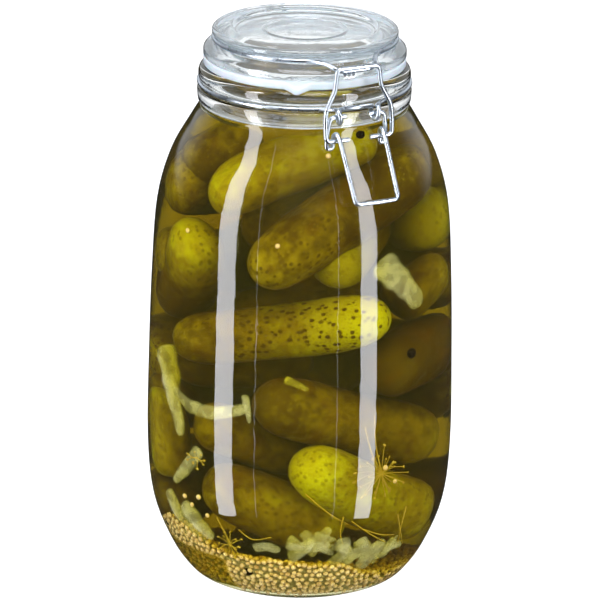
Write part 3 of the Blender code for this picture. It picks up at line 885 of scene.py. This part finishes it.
PEPPERCORNS = [(8.4, 223.0, 4.4), (22.8, 121.8, 2.7), (-50.7, 17.5, 3.0), (130.0, 60.0, 3.2),
               (-120.0, 100.0, 3.2), (170.0, 128.0, 3.2), (75.0, 28.0, 3.2), (-100.0, 30.0, 3.2)]
pepper_spots = [on_wall(*spot) for spot in PEPPERCORNS]
peppercorns = scattered("peppercorns", pepper_spots, ("GeometryNodeMeshIcoSphere", {"Subdivisions": 4}),
                        PEPPER_R, pepper_material(), spin=spins(luck, pepper_spots),
                        size=[[g, g * 0.95, g * 0.9]
                              for g in (luck.uniform(0.85, 1.05) for _ in pepper_spots)])
for vertex in peppercorns.data.vertices:
    vertex.co += vertex.normal * 0.16 * MM * noise.noise(vertex.co / MM * 1.3)
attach(peppercorns, "jar")

# ---- The brine -------------------------------------------------------------------------
# Vinegar and water, clear yellow-green, up to the foot of the neck. It reaches a third of a
# millimetre into the wall, so that no film of air shows, and creeps up the glass at its edge.
BRINE_BITE = 0.35


def brine_outline():
    """The jar's inside, pushed into the wall, then the brine's top with its raised edge."""
    line = list(reversed(inside_line(5)))
    bitten = []
    for i, spot in enumerate(line):
        along = heading(line, i)
        if spot.y < BRINE_Z:
            bitten.append((spot.x + BRINE_BITE * along.y, spot.y - BRINE_BITE * along.x))
    edge = bitten[-1][0]
    top = [(edge - 0.5, BRINE_Z + 0.9), (edge - 1.6, BRINE_Z + 0.35), (edge - 4.0, BRINE_Z), (0.0, BRINE_Z)]
    return [(0.0, BASE_T - BRINE_BITE)] + bitten + top


brine_material, *_ = see_through("brine", (1.0, 0.985, 0.84), BRINE_IOR, (0.911, 0.879, 0.0), 150.0, 5.0,
                                 "free")
brine = turned("brine", brine_outline(), brine_material)
give(brine.data, "free", [float(vertex.co.z > (BRINE_Z - 0.01) * MM) for vertex in brine.data.vertices])
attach(brine, "jar")

# ---- The rubber ring -------------------------------------------------------------------
# A flat ring of translucent whitish rubber between the rim and the lid, with a small pull tab
# at the front that is tugged to let air in.
GASKET_LOW = RIM_Z + 0.3
GASKET_T = 3.8
GASKET_R = 46.7
GASKET_BORE = 41.2
TAB_TURN = -31.0
TAB_HALF = 7.0                 # in degrees
TAB_ROOT = 44.5
TAB_REACH = 4.4
TAB_DROOP = 2.0


def rounded(corners, bend, steps=4, closed=False):
    """A line whose corners are bent to about the given radius."""
    corners = [Vector(c) for c in corners]
    count = len(corners)
    line = [] if closed else [corners[0]]
    for i in range(0 if closed else 1, count if closed else count - 1):
        corner = corners[i]
        back, ahead = corners[i - 1] - corner, corners[(i + 1) % count] - corner
        reach = min(bend, 0.42 * back.length, 0.42 * ahead.length)
        start, end = corner + back.normalized() * reach, corner + ahead.normalized() * reach
        for s in range(steps + 1):
            t = s / steps
            line.append((1 - t) ** 2 * start + 2 * t * (1 - t) * corner + t * t * end)
    return line if closed else line + [corners[-1]]


def rubber_material():
    material, tree, shader = finish("whitish rubber", Roughness=0.38, Transmission_Weight=0.25, IOR=1.42,
                                    Subsurface_Weight=0.3, Subsurface_Scale=0.003)
    cloud = pattern(tree, "Noise", 120.0, Detail=3.0)
    set_inputs(shader, Base_Color=mixed(cloud, (0.56, 0.64, 0.70), (0.76, 0.82, 0.87)),
               Normal=bumped(cloud, 0.15, 0.2))
    return material


high = GASKET_LOW + GASKET_T
gasket_outline = rounded([(GASKET_BORE, GASKET_LOW), (GASKET_R, GASKET_LOW), (GASKET_R, high),
                          (GASKET_BORE, high)], 1.0, closed=True)
gasket = turned("rubber_ring", gasket_outline, rubber_material())
for vertex in gasket.data.vertices:
    spot = vertex.co / MM
    turn = math.degrees(math.atan2(spot.x, -spot.y))
    share = max(0.0, 1 - abs(turn - TAB_TURN) / TAB_HALF)
    share *= max(0.0, (spot.xy.length - TAB_ROOT) / (GASKET_R - TAB_ROOT))
    vertex.co += at(TAB_REACH * share, -TAB_DROOP * share, TAB_TURN) * MM
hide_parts("gasket")
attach(gasket, "lid")

# ---- The lid ---------------------------------------------------------------------------
# Pressed glass: a disc with a raised border and a small raised ring, a waist that the lid wire
# sits in, a flange that bears on the rubber, and a skirt that hangs into the mouth.
LID_TOP = 265.0
LID_BASE = high + 0.3
LID_CORNERS = [(17.6, LID_TOP - 1.4), (18.7, LID_TOP - 0.7), (19.8, LID_TOP - 1.4),
               (31.6, LID_TOP - 1.4), (33.6, LID_TOP), (41.4, LID_TOP), (42.9, LID_TOP - 1.2),
               (42.9, LID_TOP - 2.8), (41.8, 261.6), (40.6, 261.4), (40.6, 258.5), (45.0, 256.9),
               (46.8, 255.2), (46.8, LID_BASE + 0.5), (46.2, LID_BASE), (40.4, LID_BASE), (40.2, 245.4),
               (38.8, 244.4), (37.2, 245.4), (35.6, 253.0), (31.0, 256.4)]
lid_material, tree, shader = see_through("lid glass", (0.955, 0.97, 0.98), GLASS_IOR, (0.70, 0.76, 0.79),
                                         27.0, roughness=0.05, clear=0.94)
ripple(tree, shader, 18.0, 0.07)
lid_outline = rounded([(0.0, 257.6)] + LID_CORNERS[::-1] + [(0.0, LID_TOP - 1.4)], 0.9)
lid = turned("glass_lid", [tuple(p) for p in lid_outline], lid_material)
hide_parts("lid_glass")
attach(lid, "lid")

# ---- The wires -------------------------------------------------------------------------
# Zinc-plated spring wire, 2.2 mm thick: a ring round the neck with two eyelets and the hinge
# pin, a wire round the lid whose end is twisted on its front bar, the clamp loop and the lever.
WIRE_R = 1.1
HINGE_Y, HINGE_Z = 54.5, 246.5
PIVOT_Y, PIVOT_Z = -52.6, 236.6
HOOK_Y, HOOK_Z = -55.3, 226.3
NECK_WIRE_R = 48.6
LID_WIRE_R = 42.0
LID_WIRE_Z = 260.0
BAR_Y, BAR_Z = -51.0, 257.2    # the lid wire's front bar
TWIST_R = 1.75
TWIST_WIRE_R = 0.8
EYELET_X = 9.0
WIRE_SIDES = 20
BEND_STEPS = 9


def mirrored(route):
    """The same route on the clasp's other side, run backwards."""
    return [Vector((-p.x, p.y, p.z)) for p in reversed(route)]


def whole(half):
    """A route and its mirror image, joined on the clasp's middle plane."""
    return half + mirrored(half)[1:]


def about(x, y, z, radius, angle):
    """The point at an angle, in degrees, round a bar that runs across the jar."""
    angle = math.radians(angle)
    return Vector((x, y + radius * math.cos(angle), z + radius * math.sin(angle)))


def wire_material():
    """Bright zinc: bluish and finely grained, with dull patches where the plating is thick."""
    material, tree, shader = finish("zinc-plated wire", Metallic=0.95)
    dull = pattern(tree, "Noise", 180.0, Detail=3.0)
    grain = pattern(tree, "Noise", 1500.0, Detail=2.0)
    set_inputs(shader, Base_Color=mixed(dull, (0.46, 0.52, 0.60), (0.70, 0.76, 0.83)),
               Roughness=ramped(dull, 0.35, 0.65, 0.20, 0.36), Normal=bumped(grain, 0.12, 0.1))
    return material


def wire_tree(material):
    """A line of edges as round wire, with flat ends unless it closes on itself."""
    tree, given = blank_tree("round wire", ["Radius", "Sides"])
    line = add_node(tree, "GeometryNodeMeshToCurve")
    ring = add_node(tree, "GeometryNodeCurvePrimitiveCircle")
    tube = add_node(tree, "GeometryNodeCurveToMesh", Fill_Caps=True)
    chain(given.outputs["Geometry"], line.inputs["Mesh"], line.outputs[0], tube.inputs["Curve"],
          given.outputs["Radius"], ring.inputs["Radius"], given.outputs["Sides"], ring.inputs["Resolution"],
          ring.outputs[0], tube.inputs["Profile Curve"])
    put_out(tree, tube.outputs[0], material)
    return tree


WIRE_TREE = wire_tree(wire_material())


def wire(name, routes, radius=WIRE_R, closed=False):
    """One piece of round wire along each route."""
    points, edges = [], []
    for route in routes:
        first = len(points)
        points += route
        edges += [(i, i + 1) for i in range(first, len(points) - 1)]
        if closed:
            edges.append((len(points) - 1, first))
    mesh = mesh_of(name + " line", points, edges)
    piece = grown(name, mesh, WIRE_TREE, {"Radius": radius * MM, "Sides": WIRE_SIDES})
    piece.data.set_sharp_from_angle(angle=math.radians(50))
    return piece


def eyelet_turn():
    """One turn of wire hanging under the ring, in which the lever's end sits."""
    deep, tall, spread, steps = 2.7, 3.1, 1.35, 30
    turn = []
    for s in range(steps + 1):
        angle = 2 * math.pi * s / steps
        turn.append(Vector((EYELET_X + spread - 2 * spread * s / steps, PIVOT_Y - deep * math.sin(angle),
                            PIVOT_Z + 0.3 + tall * math.cos(angle))))
    return turn


ring_side = [at(NECK_WIRE_R, WIRE_Z, turn) for turn in range(160, 19, -4)]
ring_back = rounded([(12.0, HINGE_Y, HINGE_Z), (14.6, HINGE_Y, HINGE_Z), (15.2, 53.6, 241.6),
                     (16.0, 49.4, WIRE_Z), ring_side[0]], 2.4, BEND_STEPS)
bridge = [Vector((5.2, -50.0, WIRE_Z + 0.2)), Vector((0.0, -50.4, WIRE_Z + 0.2))]
neck_route = whole(ring_back[:-1] + ring_side + eyelet_turn() + bridge)
neck_wire = wire("neck_ring_wire", [neck_route[:-1]], closed=True)
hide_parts("neck_wire")
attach(neck_wire, "jar")

curl = [about(EYELET_X, HINGE_Y, HINGE_Z, 2.55, angle) for angle in range(60, -181, -8)]
leg = rounded([curl[-1], (EYELET_X, 51.6, 257.0), (EYELET_X, 46.5, 260.9), at(LID_WIRE_R, LID_WIRE_Z, 166)],
              3.0, BEND_STEPS)
lid_side = [at(LID_WIRE_R, LID_WIRE_Z, turn) for turn in range(160, 21, -4)]
arm = rounded([lid_side[-1], (12.6, -45.2, 260.2), (10.2, -49.4, 258.6), (7.4, BAR_Y, BAR_Z),
               (0.0, BAR_Y, BAR_Z)], 2.6, BEND_STEPS)
lid_wire = wire("lid_bail_wire", [whole(curl[:-1] + leg + lid_side[:-1] + arm)])
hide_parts("lid_wire")
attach(lid_wire, "lid")

# The wire's two ends meet on the front bar, where one is wound round the other
twist = [[about(start + 0.2 * t, BAR_Y, BAR_Z, TWIST_R, 200 + 13.75 * t) for t in range(13)]
         for start in (-6.6, -4.5, -2.4)]
lid_twist = wire("lid_wire_twist", twist, radius=TWIST_WIRE_R)
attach(lid_twist, "lid")

loop_half = rounded([(5.4, HOOK_Y, HOOK_Z), (16.6, HOOK_Y, HOOK_Z), (16.9, -54.6, 233.0),
                     (16.4, -54.0, 240.6), (11.6, -53.4, 249.4), (11.0, -53.1, 254.0),
                     (10.4, -53.0, 259.0), (0.0, -53.0, 259.0)], 2.4, BEND_STEPS)
clamp = wire("clamp_loop_wire", [whole(loop_half)])
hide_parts("clamp_loop")
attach(clamp, "clamp")

lever_half = rounded([(5.8, PIVOT_Y, PIVOT_Z), (13.6, PIVOT_Y, PIVOT_Z), (15.0, -52.3, 228.0),
                      (14.9, -52.3, 222.2), (12.0, -52.3, 222.2), (11.9, -52.6, 227.8),
                      (11.6, -55.3, 229.9), (11.3, -58.5, 227.0), (10.8, -74.0, 201.6),
                      (0.0, -74.2, 201.4)], 2.2, BEND_STEPS)
lever = wire("lever_wire", [whole(lever_half)])
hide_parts("lever")
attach(lever, "lever_arm")

# ---- The studio ------------------------------------------------------------------------
# A wide white floor under a sky that is bright where it is seen straight or through glass, and
# that glass mirrors only beyond the jar. The reflections of two tall strip lamps run down the jar
# on both sides of the clasp. The floor isn't mirrored in the glass.
CAMERA_TURN = -27.0            # turn, rise and roll are in degrees
CAMERA_RISE = 18.487
CAMERA_AWAY = 2264.4
CAMERA_LENS = 290.6
CAMERA_ROLL = 0.896
AIM_Z = 135.0
AIM_LEFT = 0.55
AIM_DOWN = 2.59
FLOOR_HALF = 9000.0
STRIP_AWAY = 1250.0
STRIP_Z = 330.0
STRIP_TALL = 2100.0


def floor_material():
    """White where it is seen, and darker in the light that it throws back."""
    material, tree, shader = finish("white floor", Roughness=0.8, Specular_IOR_Level=0.0)
    path = add_node(tree, "ShaderNodeLightPath")
    seen = maths("MAXIMUM", path.outputs["Is Camera Ray"], path.outputs["Is Transmission Ray"])
    set_inputs(shader, Base_Color=mixed(pattern(tree, "Noise", 40.0), (0.44, 0.44, 0.44), (0.47, 0.47, 0.47)),
               Emission_Color=(1.0, 1.0, 1.0), Emission_Strength=maths("MULTIPLY", seen, 0.92))
    material.cycles.emission_sampling = "NONE"
    return material


def lamp(name, turn, away, centre_z, width, height, radiance, colour=(1.0, 1.0, 1.0), aim_z=None):
    """A one-sided strip of light that faces the axis; radiance is its brightness where white is 1."""
    data = bpy.data.lights.new(name, "AREA")
    data.shape = "RECTANGLE"
    data.size, data.size_y = width * MM, height * MM
    data.energy = radiance * math.pi * data.size * data.size_y
    data.color = colour
    item = placed(name, data)
    item.location = at(away, centre_z, turn) * MM
    target = Vector((0.0, 0.0, (centre_z if aim_z is None else aim_z) * MM))
    item.rotation_euler = (target - item.location).to_track_quat("-Z", "Y").to_euler()
    return item


corners = [(x * FLOOR_HALF, y * FLOOR_HALF, -0.1) for x, y in ((-1, -1), (1, -1), (1, 1), (-1, 1))]
floor = new_piece("floor", corners, [(0, 1, 2, 3)], floor_material())
floor.visible_glossy = False

for name, turn, width, radiance, colour in (("left strip", -57.5, 330.0, 10.8, (0.96, 0.965, 1.0)),
                                           ("right strip", 51.5, 290.0, 10.2, (0.96, 0.965, 1.0)),
                                           ("left softbox edge", -32.7, 14.0, 3.5, (0.97, 0.97, 1.0)),
                                           ("right softbox edge", 27.4, 14.0, 3.0, (0.97, 0.97, 1.0))):
    lamp(name, CAMERA_TURN + turn, STRIP_AWAY, STRIP_Z, width, STRIP_TALL, radiance, colour)
lamp("overhead", CAMERA_TURN, 500.0, 1500.0, 900.0, 900.0, 6.0, aim_z=150.0)
fill = lamp("front fill", CAMERA_TURN, 1700.0, 1300.0, 1500.0, 1500.0, 3.5, aim_z=130.0)
fill.visible_glossy = False

world = bpy.data.worlds.new("studio")
world.use_nodes = True
bpy.context.scene.world = world
sky = world.node_tree
turn, rise, roll = (math.radians(angle) for angle in (CAMERA_TURN, CAMERA_RISE, CAMERA_ROLL))
way = add_node(sky, "ShaderNodeSeparateXYZ", Vector=add_node(sky, "ShaderNodeTexCoord").outputs["Generated"])
beyond = maths("ADD", maths("MULTIPLY", way.outputs["X"], -math.sin(turn)),
               maths("MULTIPLY", way.outputs["Y"], math.cos(turn)))
path = add_node(sky, "ShaderNodeLightPath")
through = maths("MAXIMUM", path.outputs["Is Camera Ray"], path.outputs["Is Transmission Ray"])
far = maths("MAXIMUM", through, ramped(beyond, 0.30, 0.75))
above = mixed(far, (0.05, 0.054, 0.058), (0.84, 0.87, 0.90))
glow = mixed(ramped(way.outputs["Z"], -0.06, 0.02), (0.02, 0.022, 0.024), above)
set_inputs(sky.nodes["Background"], Color=glow, Strength=1.0)

towards = Vector((-math.sin(turn) * math.cos(rise), math.cos(turn) * math.cos(rise), -math.sin(rise)))
right = Vector((math.cos(turn), math.sin(turn), 0.0))
upward = right.cross(towards)
right, upward = (right * math.cos(roll) + upward * math.sin(roll),
                 upward * math.cos(roll) - right * math.sin(roll))
aim = Vector((0.0, 0.0, AIM_Z)) - right * AIM_LEFT - upward * AIM_DOWN
eye = Vector((0.0, 0.0, AIM_Z)) - towards * CAMERA_AWAY
towards = (aim - eye).normalized()
right = towards.cross(upward).normalized()
upward = right.cross(towards)
camera = placed("camera", bpy.data.cameras.new("camera"))
camera.data.lens = CAMERA_LENS
camera.data.clip_start, camera.data.clip_end = 0.05, 60.0
pose = Matrix((right, upward, -towards)).transposed().to_4x4()
pose.translation = eye * MM
camera.matrix_world = pose
scene = bpy.context.scene
scene.camera = camera
scene.view_settings.view_transform = "Standard"
scene.cycles.max_bounces = 24
scene.cycles.transmission_bounces = 20
scene.cycles.transparent_max_bounces = 32
